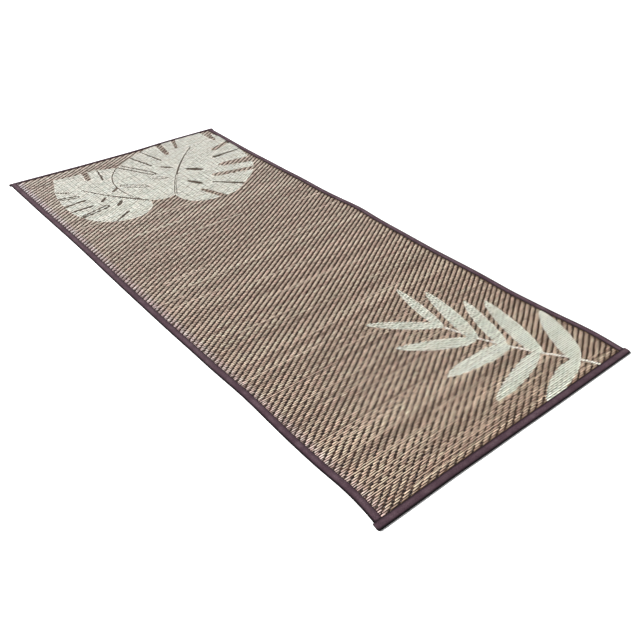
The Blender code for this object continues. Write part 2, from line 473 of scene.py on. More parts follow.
def tape_shade(x, y):
    """The shade that the tape's raised inner edge leaves on the straws beside it."""
    shade = np.interp(distance_from_tape(x, y), SHADE_REACH, (1.15, 0.40, 0.0))
    from_front = WIDTH / 2 - TAPE_WIDTH + y
    front_shade = np.interp(from_front, FRONT_SHADE_REACH, (0.8, 0.0))
    return np.where(from_front < SHADE_REACH[-1], front_shade, shade)


def along_atlas(y):
    return 0.005 + 0.99 * (y + STRAW_END) / (2 * STRAW_END)


def row_atlas(row, rows):
    return (row + np.array([0.06, 0.5, 0.94])) / rows


def crossings(x, ragged):
    """Where dark floats cross a straw."""
    reach = RIB_LEAN * WIDTH / 2
    first = math.floor((x - reach) / RIB_PITCH) - 1
    last = math.ceil((x + reach) / RIB_PITCH) + 1
    centres = (np.arange(first, last + 1) * RIB_PITCH - x) / RIB_LEAN
    return centres + ragged * (chance.normal(0.0, 0.0007) + chance.normal(0.0, 0.0010, len(centres)))


def waved_profile(centres, halves, over):
    """A straw's places, levels and painted shade: it dips at each float that it doesn't run over, is painted
    darker where it dips, and gets a painted highlight where it runs over the ribs.
    """
    outer = halves + DIP_SLOPE
    y = np.stack([centres - outer, centres - halves, centres + halves, centres + outer], axis=1)
    y = np.hstack([y, (centres + CROSS_PITCH / 2)[:, None]])
    low = np.where(over, CROWN, DIP)
    high = np.full(low.shape, HIGH)
    level = np.stack([high, low, low, high, np.full(low.shape, CROWN)], axis=1)
    level = level.ravel() + chance.normal(0.0, 0.00006, y.size) + chance.normal(0.0, 0.00008)
    # Painted shade where the straw dips under a float, less a painted highlight where it runs over
    shade = np.interp(level, [DIP, HIGH], [1.0, 0.0])
    return y.ravel(), level, shade - OVER_HIGHLIGHT * np.repeat(over, y.shape[1])


def ground_run(x, low, high, profile, side):
    """A straw's surface from low to high, and the shade painted into its colour along there, where it dips
    and beside the tape.
    """
    y, level, shade = profile
    inside = (y > low + GROUND_MARGIN) & (y < high - GROUND_MARGIN)
    places = np.concatenate([[low], y[inside], [high]])
    levels = np.interp(places, y, level)
    painted_shade = np.interp(places, y, shade)
    if low > -STRAW_END:
        levels[0] = SEAM_LEVEL
    if high < STRAW_END:
        levels[-1] = SEAM_LEVEL
    width = STRAW_WIDTH / 2 * np.interp(levels, [DIP, HIGH], [0.92, 1.02])
    wander = chance.normal(0.0, WANDER, len(places))
    # Painted shade beside the tape's raised inner edge
    painted_shade = np.maximum(painted_shade, tape_shade(x, places))
    return strip(x, places, levels, width, GROUND_DROPS[side], wander), places, painted_shade


def leaf_run(x, low, high, number, kind):
    """The same for a straw of a motif: plain weave, or a flat dark line."""
    beats = np.arange(math.ceil(low / WARP_PITCH + 0.05), math.floor(high / WARP_PITCH - 0.05) + 1)
    slips = chance.normal(0.0, 0.0009) + chance.normal(0.0, 0.0007, len(beats))
    crossed = beats * WARP_PITCH + np.clip(slips, -LONGEST_SLIP, LONGEST_SLIP)
    crossed = np.sort(np.clip(crossed, low + LEAF_MARGIN, high - LEAF_MARGIN))
    places = np.concatenate([[low], crossed, [high]])
    low_here = PALE_LOW - 0.0004 if (number // 2) % 2 == 0 else PALE_LOW + 0.0002
    over = np.where((beats + number // 2) % 2 == 0, PALE_HIGH, low_here)
    end = PALE_HIGH - 0.0002
    ribs = np.cos(2 * math.pi * (x + RIB_LEAN * places) / RIB_PITCH)
    if kind == LINE:
        over = np.full(over.shape, SEAM_LEVEL - 0.0003)
        end = SEAM_LEVEL
        ribs = 3.5 * ribs
    levels = np.concatenate([[end], over, [end]])
    levels = levels + 0.00022 * ribs + chance.normal(0.0, 0.00022, len(levels))
    wander = chance.normal(0.0, WANDER, len(places))
    # Painted shade on the low beats of the motif's weave
    painted_shade = np.interp(levels, [0.0029, 0.0034, 0.0040], [0.95, 0.50, 0.0])
    width = np.full(places.shape, LEAF_STRAW_WIDTH / 2)
    return strip(x, places, levels, width, LEAF_DROPS[number % 2], wander), places, painted_shade


def long_overs():
    """Where one straw of a pick runs over many ribs: (pick, from, to)."""
    overs = []
    pick = math.floor(-0.60 / PICK_PITCH)
    while pick < (LENGTH / 2 - 0.025) / PICK_PITCH:
        x = pick * PICK_PITCH
        nearness = np.clip((x - 0.30) / 0.45, 0.0, 1.0)
        reach = chance.uniform(0.05, 0.12 + 0.14 * nearness)
        middle = chance.uniform(-0.36, 0.36 - 0.34 * nearness)
        overs.append((pick, middle - reach, middle + reach))
        fewest = 1 if nearness > 0.9 else 2
        pick += int(chance.integers(fewest, 5) * (1 + 3.0 * (1 - nearness) ** 2))
    return overs


def straws_and_floats():
    """Every straw and float of the field, in piles that keep each mesh small."""
    first = math.ceil((-LENGTH / 2 + STRAWS_FROM_END) / STRAW_PITCH)
    last = math.floor((LENGTH / 2 - STRAWS_FROM_END) / STRAW_PITCH)
    straws = last - first
    ground = [Pile() for _ in range(3)]
    pale, line, floats = Pile(), Pile(), Pile()
    ground_rows = math.ceil(straws / 3)
    pick_tone, slip, yellow = 0.0, 0.0, False
    overs = long_overs()
    for k in range(straws):
        number = first + k
        side = number % 2
        pick = number // 2
        x = (number + 0.5 + (PAIRED if side == 0 else -PAIRED)) * STRAW_PITCH
        nearness = np.clip((x - 0.55) / 0.35, 0.0, 1.0)
        if side == 0:
            pick_tone = 0.4 * pick_tone + chance.normal(0.0, 0.07)
            yellow = chance.random() < 0.02 + 0.05 * nearness
        ragged = np.interp(x, (0.10, 0.60), (0.55, 1.0))  # the weave is more even towards the far end
        varied = (0.45 + 0.55 * ragged) * (pick_tone + chance.normal(0.0, 0.19))
        tone = 0.5 + varied + (0.12 if yellow else 0.0)
        looks = [np.clip(tone, 0, 1), np.clip(chance.normal(0.5, 0.30), 0, 1)]
        centres = crossings(x + STEPPED * ((pick + 0.5) * PICK_PITCH - x), ragged)
        halves = FLOAT_LENGTH / 2 * (1.02 + ragged * chance.uniform(-0.25, 0.25, len(centres)))
        over = np.zeros(len(centres), dtype=bool)
        for over_pick, low, high in overs:
            if side == 0 and over_pick == pick:
                over |= (centres > low) & (centres < high)
        if over.any():
            looks[0] = max(looks[0], 0.64)
        profile = waved_profile(centres, halves, over)
        if side == 0:
            slip = chance.normal(0.0, 0.0007)
        slip_here = slip + chance.normal(0.0, 0.0003)
        mask_y, mask = kinds_along(x + 0.6 * ((pick + 0.5) * PICK_PITCH - x), slip_here)
        for kind, low, high in runs_along(mask_y, mask):
            if kind == GROUND:
                points, places, painted_shade = ground_run(x, low, high, profile, side)
                # In the leaves' short slits the straws get more painted shade
                if x < SLITS_END and -STRAW_END < low and high < STRAW_END and high - low < SLIT_LENGTH:
                    painted_shade = 0.25 + 0.75 * painted_shade
                row = row_atlas(k // 3, ground_rows)
                ground[k % 3].add(points, along_atlas(places), row, looks, painted_shade, GROUND_EDGE_SHADE[side])
                continue
            points, places, painted_shade = leaf_run(x, low, high, number, kind)
            own_tone = np.clip(looks[0] - (0.1 if yellow else 0.0), 0, 1)
            own = [1.0, 1.0] if kind == STEM else [own_tone, looks[1]]
            pile = line if kind == LINE else pale
            pile.add(points, along_atlas(places), row_atlas(k, straws), own, painted_shade, LEAF_EDGE_SHADE[side])
        add_floats(floats, x, centres[~over], halves[~over], mask)
    return ground, pale, line, floats


def loose_strands(count):
    """Single thin strands that have worked loose and lie straight across the ribs."""
    pile = Pile()
    for k in range(count):
        x = LENGTH / 2 - 0.030 - 0.32 * chance.random() ** 1.15
        if k % 3 == 0:
            x = chance.uniform(-0.30, 0.62)
        length = chance.uniform(0.06, 0.34)
        low = chance.uniform(-STRAW_END + 0.01, STRAW_END - 0.01 - length)
        mask_y, mask = kinds_along(x, 0.0)
        for kind, first, last in runs_along(mask_y, mask):
            start, end = max(first, low), min(last, low + length)
            if kind != GROUND or end - start < 0.02:
                continue
            places = np.linspace(start, end, max(5, int((end - start) / 0.012)))
            share = np.linspace(0, 1, len(places))
            levels = LOOSE_LEVEL - 0.0016 * (2 * share - 1) ** 8 + chance.normal(0.0, 0.00005, len(places))
            sway = 0.0010 * np.sin(7 * share + k) + chance.normal(0.0, 0.00012, len(places))
            width = STRAND_WIDTH / 2 * (1 - 0.6 * (2 * share - 1) ** 6)
            looks = [chance.uniform(0.85, 1.0), chance.uniform(0.3, 0.7)]
            row = row_atlas(len(pile.points), 2 * count)
            points = strip(x, places, levels, width, (0.0005, 0.0005), sway)
            pile.add(points, along_atlas(places), row, looks, np.zeros(len(places)), (0.5, 0.5))
    return pile


def add_floats(floats, x, centres, halves, mask):
    """The dark floats on one straw, each cut short where a motif covers it."""
    for centre, half in zip(centres, halves):
        low, high = max(centre - half, -STRAW_END), min(centre + half, STRAW_END)
        if high - low < 0.004:
            continue
        first = int((low + STRAW_END) / MASK_STEP)
        clear = np.flatnonzero(mask[first : int((high + STRAW_END) / MASK_STEP)] == GROUND)
        if len(clear) < 4 or clear[-1] - clear[0] >= len(clear):
            continue
        if clear[0] > 0:
            low = -STRAW_END + (first + clear[0]) * MASK_STEP
        high = min(high, -STRAW_END + (first + clear[-1] + 1) * MASK_STEP)
        share = np.array([0.0, 0.5, 1.0])
        places = low + (high - low) * share
        levels = DIP + (FLOAT_LEVEL - DIP) * np.array([0.35, 1.0, 0.35])
        width = FLOAT_WIDTH / 2 * chance.uniform(0.88, 1.08) * np.array([0.62, 1.0, 0.62])
        placed = len(floats.points)
        u = (placed % ATLAS_SIDE + 0.08 + 0.84 * share) / ATLAS_SIDE
        v = (placed // ATLAS_SIDE + np.array([0.08, 0.5, 0.92])) / ATLAS_SIDE
        wander = chance.normal(0.0, WANDER, 3)
        looks = [chance.random(), chance.random()]
        points = strip(x, places, levels, width, (0.0006, 0.0006), wander)
        floats.add(points, u, v, looks, np.zeros(len(places)))


# The sheet below the straws


def solid_from(name, points, faces, material, wear_and_painted_light=()):
    mesh = bpy.data.meshes.new(name)
    mesh.from_pydata(points.tolist(), [], faces)
    mesh.shade_smooth()
    mesh.materials.append(material)
    if len(wear_and_painted_light):
        values = np.zeros(len(points))
        values[: len(wear_and_painted_light)] = wear_and_painted_light
        mesh.attributes.new("wear_and_painted_light", "FLOAT", "POINT").data.foreach_set("value", values)
    thing = bpy.data.objects.new(name, mesh)
    bpy.context.collection.objects.link(thing)
    return thing


def under_relief(x, y):
    """The underside's height: each pick is round, and rises off the ground between its floats."""
    across = (x / PICK_PITCH) % 1.0
    rounded = 1 - (2 * across - 1) ** 2
    phase = ((x - (x % PICK_PITCH) + PICK_PITCH / 2 + RIB_LEAN * y) / RIB_PITCH) % 1.0
    lifted = 0.5 + 0.5 * np.cos(2 * math.pi * phase)
    return 0.0001 + 0.0006 * (1 - rounded) + 0.0004 * lifted


def woven_base(material):
    """The closed sheet under the straws: plain above, where they hide it, and woven below."""
    first = math.ceil((-LENGTH / 2 + WEAVE_FROM_END) / (PICK_PITCH / 2))
    last = math.floor((LENGTH / 2 - WEAVE_FROM_END) / (PICK_PITCH / 2))
    x = np.arange(first, last + 1) * PICK_PITCH / 2
    rim_x = LENGTH / 2 - FOLD_RADIUS
    x = np.concatenate([[-rim_x, -LENGTH / 2 + RIM_INWARD], x, [LENGTH / 2 - RIM_INWARD, rim_x]])
    flat_y = WIDTH / 2 - WEAVE_FROM_SIDE
    y = np.linspace(-flat_y, flat_y, BASE_ROWS)
    rim_y = WIDTH / 2 - FOLD_RADIUS
    y = np.concatenate([[-rim_y, -WIDTH / 2 + RIM_INWARD], y, [WIDTH / 2 - RIM_INWARD, rim_y]])
    grid_x, grid_y = np.meshgrid(x, y, indexing="ij")
    low = under_relief(grid_x, grid_y)
    low[:2], low[-2:], low[:, :2], low[:, -2:] = RIM_LOW, RIM_LOW, RIM_LOW, RIM_LOW
    under = np.stack([grid_x, grid_y, low], axis=-1)
    columns, rows = len(x), len(y)
    index = np.arange(columns * rows).reshape(columns, rows)
    faces = quads_between(index).tolist()
    border = np.concatenate([index[:-1, 0], index[-1, :-1], index[:0:-1, -1], index[0, :0:-1]])
    points = under.reshape(-1, 3)
    top = points[border].copy()
    top[:, 2] = SHEET_TOP
    upper = len(points) + np.arange(len(border))
    around = len(border)
    for k in range(around):
        after = (k + 1) % around
        faces.append([int(border[k]), int(border[after]), int(upper[after]), int(upper[k])])
    # The top: one strip between each two places along the front side and the same two at the back
    front = upper[:columns]
    back = upper[columns + rows - 2 : 2 * columns + rows - 2][::-1]
    for k in range(1, columns - 2):
        faces.append([int(front[k]), int(front[k + 1]), int(back[k + 1]), int(back[k])])
    near = upper[columns - 2 : columns + rows]
    faces.append([int(i) for i in near])
    far = upper[2 * columns + rows - 4 :]
    faces.append([int(i) for i in far] + [int(front[0]), int(front[1])])
    return solid_from("woven_base", lie(np.concatenate([points, top])), faces, material)


# The tape


def waves(place, scale, seed):
    """A smooth unevenness from -1 to 1 along a length, from waves of about one scale."""
    lengths = (1.0, 0.61, 0.37, 0.23)
    total = sum(
        math.sqrt(size) * np.sin(2 * math.pi * place / (scale * size) + 1.7 * seed + 2.3 * k)
        for k, size in enumerate(lengths)
    )
    return total / 2.4


def tape_section(width):
    """The tape's outer and inner outlines, as (distance in from the side, height, looseness)."""
    turns = np.radians(np.linspace(-90, 90, 9))
    bend = [(FOLD_RADIUS * (1 - math.cos(a)), FOLD_RADIUS * (1 + math.sin(a)), 0.0) for a in turns]
    rest = width - FOLD_RADIUS
    leg = [
        (FOLD_RADIUS + rest * share, TAPE_TOP + lift, loose)
        for share, lift, loose in (
            (0.22, 0.00010, 0.5),
            (0.45, 0.00016, 1.0),
            (0.66, 0.00006, 0.8),
            (0.76, -0.00022, 0.2),
            (SEAM_SHARE, -0.00042, 0.0),
            (0.84, -0.00024, 0.1),
            (0.92, -0.00002, 0.6),
            (0.98, -0.00008, 0.6),
            (1.00, -0.00040, 0.4),
        )
    ]
    lower = [(inward, max(0.0, (TAPE_TOP - z) * 0.7), 0.0) for inward, z, _ in leg]
    outer = np.array(lower[::-1] + bend + leg)
    radius = FOLD_RADIUS - TAPE_CLOTH
    turns = np.radians(np.linspace(-90, 90, 5))
    inner = [(FOLD_RADIUS - radius * math.cos(a), FOLD_RADIUS + radius * math.sin(a), 0.0) for a in turns]
    inner = [(width, TAPE_CLOTH, 0.0), *inner, (width, TAPE_TOP - TAPE_CLOTH, 0.0)]
    return outer, np.array(inner)


def closed_fold(rows_outer, rows_inner, rounded):
    """Faces of a folded tape. Its ends are turned in and rounded, or show the cut cloth."""
    stations, outer_count, inner_count = len(rows_outer), rows_outer.shape[1], rows_inner.shape[1]
    points = [rows_outer.reshape(-1, 3), rows_inner.reshape(-1, 3)]
    outer = np.arange(stations * outer_count).reshape(stations, outer_count)
    inner = stations * outer_count + np.arange(stations * inner_count).reshape(stations, inner_count)
    faces = []
    for index, flip in ((outer, False), (inner, True)):
        quads = quads_between(index)
        faces += (quads[:, ::-1] if flip else quads).tolist()
    for k in range(stations - 1):
        faces.append([int(i) for i in (outer[k + 1, 0], inner[k + 1, 0], inner[k, 0], outer[k, 0])])
        faces.append([int(i) for i in (outer[k, -1], inner[k, -1], inner[k + 1, -1], outer[k + 1, -1])])
    for end in (0, -1):
        if not rounded:
            face = [int(i) for i in outer[end]] + [int(i) for i in inner[end][::-1]]
            faces.append(face[::-1] if end == 0 else face)
            continue
        faces += turned_in_end(points, outer[end], inner[end], end)
    return np.concatenate(points), faces


def turned_in_end(points, outer, inner, end):
    """The folded tape's end, turned in between its two legs, with a crease halfway up."""
    count = sum(len(some) for some in points)
    rim = points[0][outer]
    outward = np.sign(rim[0, 1])
    rings = []
    for share, out in ((0.55, 0.0006), (0.22, 0.0004), (0.04, -0.0008)):
        ring = rim.copy()
        ring[:, 2] = FOLD_RADIUS + (rim[:, 2] - FOLD_RADIUS) * share
        ring[:, 1] += outward * out
        ring[:, 0] += (rim[:, 0].mean() - rim[:, 0]) * 0.03
        points.append(ring)
        rings.append(np.arange(count, count + len(ring)))
        count += len(ring)
    faces = []
    levels = [outer, *rings]
    for one, other in zip(levels, levels[1:]):
        for k in range(len(one) - 1):
            face = [int(i) for i in (one[k], one[k + 1], other[k + 1], other[k])]
            faces.append(face if end == 0 else face[::-1])
        face = [int(i) for i in (one[-1], one[0], other[0], other[-1])]
        faces.append(face if end == 0 else face[::-1])
    last = [int(i) for i in levels[-1]]
    faces.append(last if end == 0 else last[::-1])
    hollow = [int(i) for i in inner]
    faces.append(hollow[::-1] if end == 0 else hollow)
    faces.append([int(outer[0]), int(outer[-1]), int(inner[-1]), int(inner[0])][:: 1 if end == 0 else -1])
    return faces


def painted_tape_light(outline, lightness):
    """The light painted on each place of the outline: lighter where the cloth is loose, lighter all over by
    the lightness given, and below 0 painted shade at the fold and at the inner edge.
    """
    width = outline[-1, 0]
    places = [0.0020, 0.0038, width - 0.0022, width - 0.0012]
    return outline[:, 2] + np.interp(outline[:, 0], places, [-1.0, lightness, lightness, -1.4])


def tape_rows(outline, stations, place, seed):
    """The outline's points at each station, with the cloth's own slackness."""
    rows = []
    for station in stations:
        slack = outline[:, 2] * 0.00016 * waves(station, 0.045, seed)
        edge = 0.00035 * waves(station, 0.110, seed + 3) * (outline[:, 0] > TAPE_CLOTH * 8)
        rows.append(place(station, outline[:, 0] + edge, outline[:, 1] + slack))
    return np.stack(rows)


def long_tape(name, side, material, seed):
    first = -LENGTH / 2 + FAR_TAPE_WIDTH + GAP
    last = LENGTH / 2 - TAPE_WIDTH - GAP
    stations = np.linspace(first, last, 420)

    def place(x, inward, z):
        return np.stack([np.full(inward.shape, x), side * (WIDTH / 2 - inward), z], axis=-1)

    outer, inner = (tape_rows(outline, stations, place, seed) for outline in tape_section(TAPE_WIDTH))
    points, faces = closed_fold(outer, inner, False)
    wear_and_painted_light = np.tile(painted_tape_light(tape_section(TAPE_WIDTH)[0], LONG_TAPES_LIGHTER), len(stations))
    return solid_from(name, lie(points), faces, material, wear_and_painted_light)


def short_tape(name, end, width, material, seed):
    half = WIDTH / 2 + CORNER_OUT
    corner = half - CORNER_ROUND * np.array([1.0, 0.8, 0.6, 0.42, 0.25, 0.12, 0.04, 0.0])
    middle = np.linspace(-corner[0], corner[0], 190)[1:-1]
    stations = np.concatenate([-corner[::-1], middle, corner])
    outer_outline, inner_outline = tape_section(width)
    inner_share = (half - END_TURN_IN) / half

    def place(y, inward, z):
        short_of = max(CORNER_ROUND - (half - abs(y)), 0.0)
        cut = CORNER_ROUND - math.sqrt(CORNER_ROUND**2 - short_of**2)
        x = end * (LENGTH / 2 - cut - inward * (1 - cut / width))
        return np.stack([x, np.full(inward.shape, y), z], axis=-1)

    def place_inner(y, inward, z):
        return np.stack([end * (LENGTH / 2 - inward), np.full(inward.shape, y * inner_share), z], axis=-1)

    outer = tape_rows(outer_outline, stations, place, seed)
    inner = tape_rows(inner_outline, stations, place_inner, seed)
    points, faces = closed_fold(outer, inner, True)
    return solid_from(name, lie(points), faces, material, np.tile(painted_tape_light(outer_outline, 0.0), len(stations)))


def stitches(name, half_length, place, width, material):
    """The seam along a tape's inner edge, through both of its legs: place() gives x and y."""
    inward = FOLD_RADIUS + (width - FOLD_RADIUS) * SEAM_SHARE
    pile = Pile()
    count = 2 * int(half_length / STITCH_PITCH) - 1
    rows = math.ceil(math.sqrt(2 * count))
    for k in range(2 * count):
        below = k >= count
        at = (k % count - count / 2 + 0.5) * STITCH_PITCH + chance.normal(0.0, 0.0001)
        along = at + STITCH_LENGTH * np.array([-0.5, -0.25, 0.25, 0.5])
        lift = np.array([-0.00030, 0.00008, 0.00008, -0.00030])
        level = 0.00022 - lift if below else TAPE_TOP - 0.00020 + lift
        edge = STITCH_WIDTH / 2 * (-1 if below else 1)
        columns = []
        for across, drop in ((-edge, 0.00020), (0.0, 0.0), (edge, 0.00020)):
            x, y = place(along, inward + across + chance.normal(0.0, 0.00005))
            columns.append(np.stack([x, y, level + (drop if below else -drop)], axis=-1))
        u = (k % rows + np.array([0.08, 0.3, 0.7, 0.92])) / rows
        v = (k // rows + np.array([0.08, 0.5, 0.92])) / rows
        looks = [chance.random(), chance.random()]
        pile.add(np.stack(columns, axis=1), u, v, looks, np.zeros(len(along)))
    return pile.finish(name, material)


# Materials


class Paint:
    """A material's node graph, put together call by call."""

    def __init__(self, name, roughness):
        self.material = bpy.data.materials.new(name)
        self.material.use_nodes = True
        self.tree = self.material.node_tree
        self.shader = self.tree.nodes["Principled BSDF"]
        self.shader.inputs["Roughness"].default_value = roughness

    def node(self, kind, inputs=(), **settings):
        node = self.tree.nodes.new(kind)
        for key, value in settings.items():
            setattr(node, key, value)
        for key, value in dict(inputs).items():
            self.give(node.inputs[key], value)
        return node

    def give(self, socket, value):
        if isinstance(value, bpy.types.NodeSocket):
            self.tree.links.new(value, socket)
        else:
            socket.default_value = value

    def place(self, stretch):
        """The place on the model, in metres, times a stretch for each axis."""
        where = self.node("ShaderNodeTexCoord").outputs["Object"]
        return self.node("ShaderNodeMapping", {"Vector": where, "Scale": stretch}).outputs["Vector"]

    def noise(self, stretch, detail=2.0, roughness=0.5):
        settings = {"Vector": self.place(stretch), "Scale": 1.0, "Detail": detail, "Roughness": roughness}
        return self.node("ShaderNodeTexNoise", settings).outputs["Fac"]

    def where(self, axis):
        """The place on the model along one axis, in metres."""
        return self.node("ShaderNodeSeparateXYZ", {"Vector": self.place((1.0, 1.0, 1.0))}).outputs[axis]

    def ribwise(self, across, along):
        """Noise in patches that lie along the ribs."""
        x, y = self.where("X"), self.where("Y")
        u = self.maths("ADD", x, self.maths("MULTIPLY", y, RIB_LEAN))
        v = self.maths("SUBTRACT", y, self.maths("MULTIPLY", x, RIB_LEAN))
        place = {"X": self.maths("MULTIPLY", u, across), "Y": self.maths("MULTIPLY", v, along)}
        place = self.node("ShaderNodeCombineXYZ", place).outputs["Vector"]
        return self.node("ShaderNodeTexNoise", {"Vector": place, "Scale": 1.0, "Detail": 2.0}).outputs["Fac"]

    def attribute(self, name):
        return self.node("ShaderNodeAttribute", attribute_name=name).outputs["Fac"]

    def ramp(self, factor, stops):
        node = self.node("ShaderNodeValToRGB", {"Fac": factor})
        elements = node.color_ramp.elements
        while len(elements) < len(stops):
            elements.new(0.5)
        for element, (at, colour) in zip(elements, stops):
            element.position = at
            element.color = (*colour, 1.0)
        return node.outputs["Color"]

    def ranged(self, value, from_min, from_max, to_min, to_max):
        limits = {"From Min": from_min, "From Max": from_max, "To Min": to_min, "To Max": to_max}
        return self.node("ShaderNodeMapRange", {"Value": value, **limits}).outputs["Result"]

    def spread(self, value, low, high):
        """A value from 0.3 to 0.7, as noise mostly is, moved to the range from low to high."""
        return self.ranged(value, 0.3, 0.7, low, high)

    def grey(self, value):
        channels = dict.fromkeys(("Red", "Green", "Blue"), value)
        return self.node("ShaderNodeCombineColor", channels).outputs["Color"]

    def tinted(self, colour, tint):
        return self.mix(1.0, colour, tint, "MULTIPLY")

    def mix(self, factor, first, second, blend="MIX"):
        node = self.node("ShaderNodeMix", data_type="RGBA", blend_type=blend)
        self.give(node.inputs[0], factor)
        self.give(node.inputs[6], first)
        self.give(node.inputs[7], second)
        return node.outputs[2]

    def maths(self, operation, first, second):
        return self.node("ShaderNodeMath", {0: first, 1: second}, operation=operation).outputs["Value"]

    def finish(self, colour, roughness=None, bump=None, strength=0.4, distance=0.0003):
        self.give(self.shader.inputs["Base Color"], colour)
        if roughness is not None:
            self.give(self.shader.inputs["Roughness"], roughness)
        if bump is not None:
            inputs = {"Height": bump, "Strength": strength, "Distance": distance}
            self.give(self.shader.inputs["Normal"], self.node("ShaderNodeBump", inputs).outputs["Normal"])
        return self.material


def straw_material(name, stops, *, warm, cool, far, near, shade_tint, shadow, mottle):
    """Dried rush: each straw has its own tone, with streaks along it, and painted shade where it lies low,
    tinted by the shade colour given.
    """
    paint = Paint(name, 0.5)
    paint.shader.inputs["Specular IOR Level"].default_value = 0.22
    streak = paint.noise((900.0, 22.0, 300.0), detail=3.0)
    stain = paint.noise((420.0, 9.0, 100.0), detail=1.0)
    blot = paint.noise((260.0, 90.0, 1.0))
    tone = paint.maths("ADD", paint.attribute("tone"), paint.spread(stain, -0.14, 0.14))
    tone = paint.maths("ADD", tone, paint.spread(blot, -mottle, mottle))
    colour = paint.ramp(tone, stops)
    patches = paint.spread(paint.ribwise(95.0, 24.0), -0.3, 1.3)
    colour = paint.tinted(colour, paint.mix(patches, (*cool, 1.0), (*warm, 1.0)))
    colour = paint.tinted(colour, paint.grey(paint.spread(paint.ribwise(80.0, 30.0), 0.94, 1.06)))
    front_edge = TAPE_WIDTH - WIDTH / 2
    bleached = paint.ranged(paint.where("Y"), front_edge, front_edge + BLEACHED_BAND, 1.0, 0.0)
    colour = paint.mix(bleached, colour, BLEACH, "MULTIPLY")
    nearness = paint.ranged(paint.where("X"), -LENGTH / 2, LENGTH / 2, 0.0, 1.0)
    colour = paint.tinted(colour, paint.mix(nearness, (*far, 1.0), (*near, 1.0)))
    colour = paint.tinted(colour, paint.mix(paint.attribute("warmth"), (*cool, 1.0), (*warm, 1.0)))
    # Painted shade from the attribute: darker where the straw lies low, and a painted highlight below 0
    painted_shade = paint.ranged(paint.attribute("painted_shade"), -0.5, 1.0, 1.5 - 0.5 * shadow, shadow)
    shade = paint.maths("MULTIPLY", paint.spread(streak, 0.78, 1.18), painted_shade)
    colour = paint.tinted(colour, paint.grey(shade))
    # The painted shade also takes on the shade colour
    colour = paint.tinted(colour, paint.mix(paint.attribute("painted_shade"), (1.0, 1.0, 1.0, 1.0), (*shade_tint, 1.0)))
    return paint.finish(colour, paint.spread(streak, 0.70, 0.52), streak, 0.35)


def base_material():
    """Its top is a flat dark brown, painted shade that shows between the straws; below it shows the weave's
    darker back, with painted shade between its straws.
    """
    paint = Paint("rush_back", 0.6)
    x, y, z = (paint.where(axis) for axis in "XYZ")
    ragged = paint.spread(paint.noise((400.0, 60.0, 50.0)), -0.0011, 0.0011)
    pick = paint.maths("DIVIDE", x, PICK_PITCH)
    stepped = paint.maths("MULTIPLY", paint.maths("FLOOR", pick, 0.0), PICK_PITCH)
    along = paint.maths("ADD", paint.maths("ADD", stepped, paint.maths("MULTIPLY", y, RIB_LEAN)), ragged)
    beat = paint.maths("FRACT", paint.maths("DIVIDE", along, RIB_PITCH), 0.0)
    white, shade_grey, black = (1, 1, 1), (0.35, 0.35, 0.35), (0, 0, 0)
    light = paint.ramp(beat, [(0.0, white), (0.26, white), (0.34, black), (0.92, black), (1.0, white)])
    streak = paint.noise((700.0, 18.0, 60.0), detail=3.0)
    dark = paint.ramp(streak, [(0.3, (0.045, 0.028, 0.020)), (0.7, (0.13, 0.085, 0.060))])
    pale = paint.ramp(streak, [(0.3, (0.22, 0.155, 0.115)), (0.7, (0.46, 0.37, 0.28))])
    colour = paint.mix(light, dark, pale)
    # Painted shade between the straws of the underside
    straw = paint.maths("FRACT", paint.maths("MULTIPLY", pick, 2.0), 0.0)
    groove_shade = paint.ramp(straw, [(0.0, shade_grey), (0.25, white), (0.75, white), (1.0, shade_grey)])
    colour = paint.tinted(colour, groove_shade)
    colour = paint.tinted(colour, paint.grey(paint.spread(paint.ribwise(80.0, 30.0), 0.82, 1.15)))
    # The top is a flat dark brown: painted shade, seen between the straws above it
    below = paint.maths("LESS_THAN", z, 0.0012)
    colour = paint.mix(below, (0.050, 0.032, 0.024, 1.0), colour)
    return paint.finish(colour, paint.spread(streak, 0.75, 0.5), streak, 0.4)


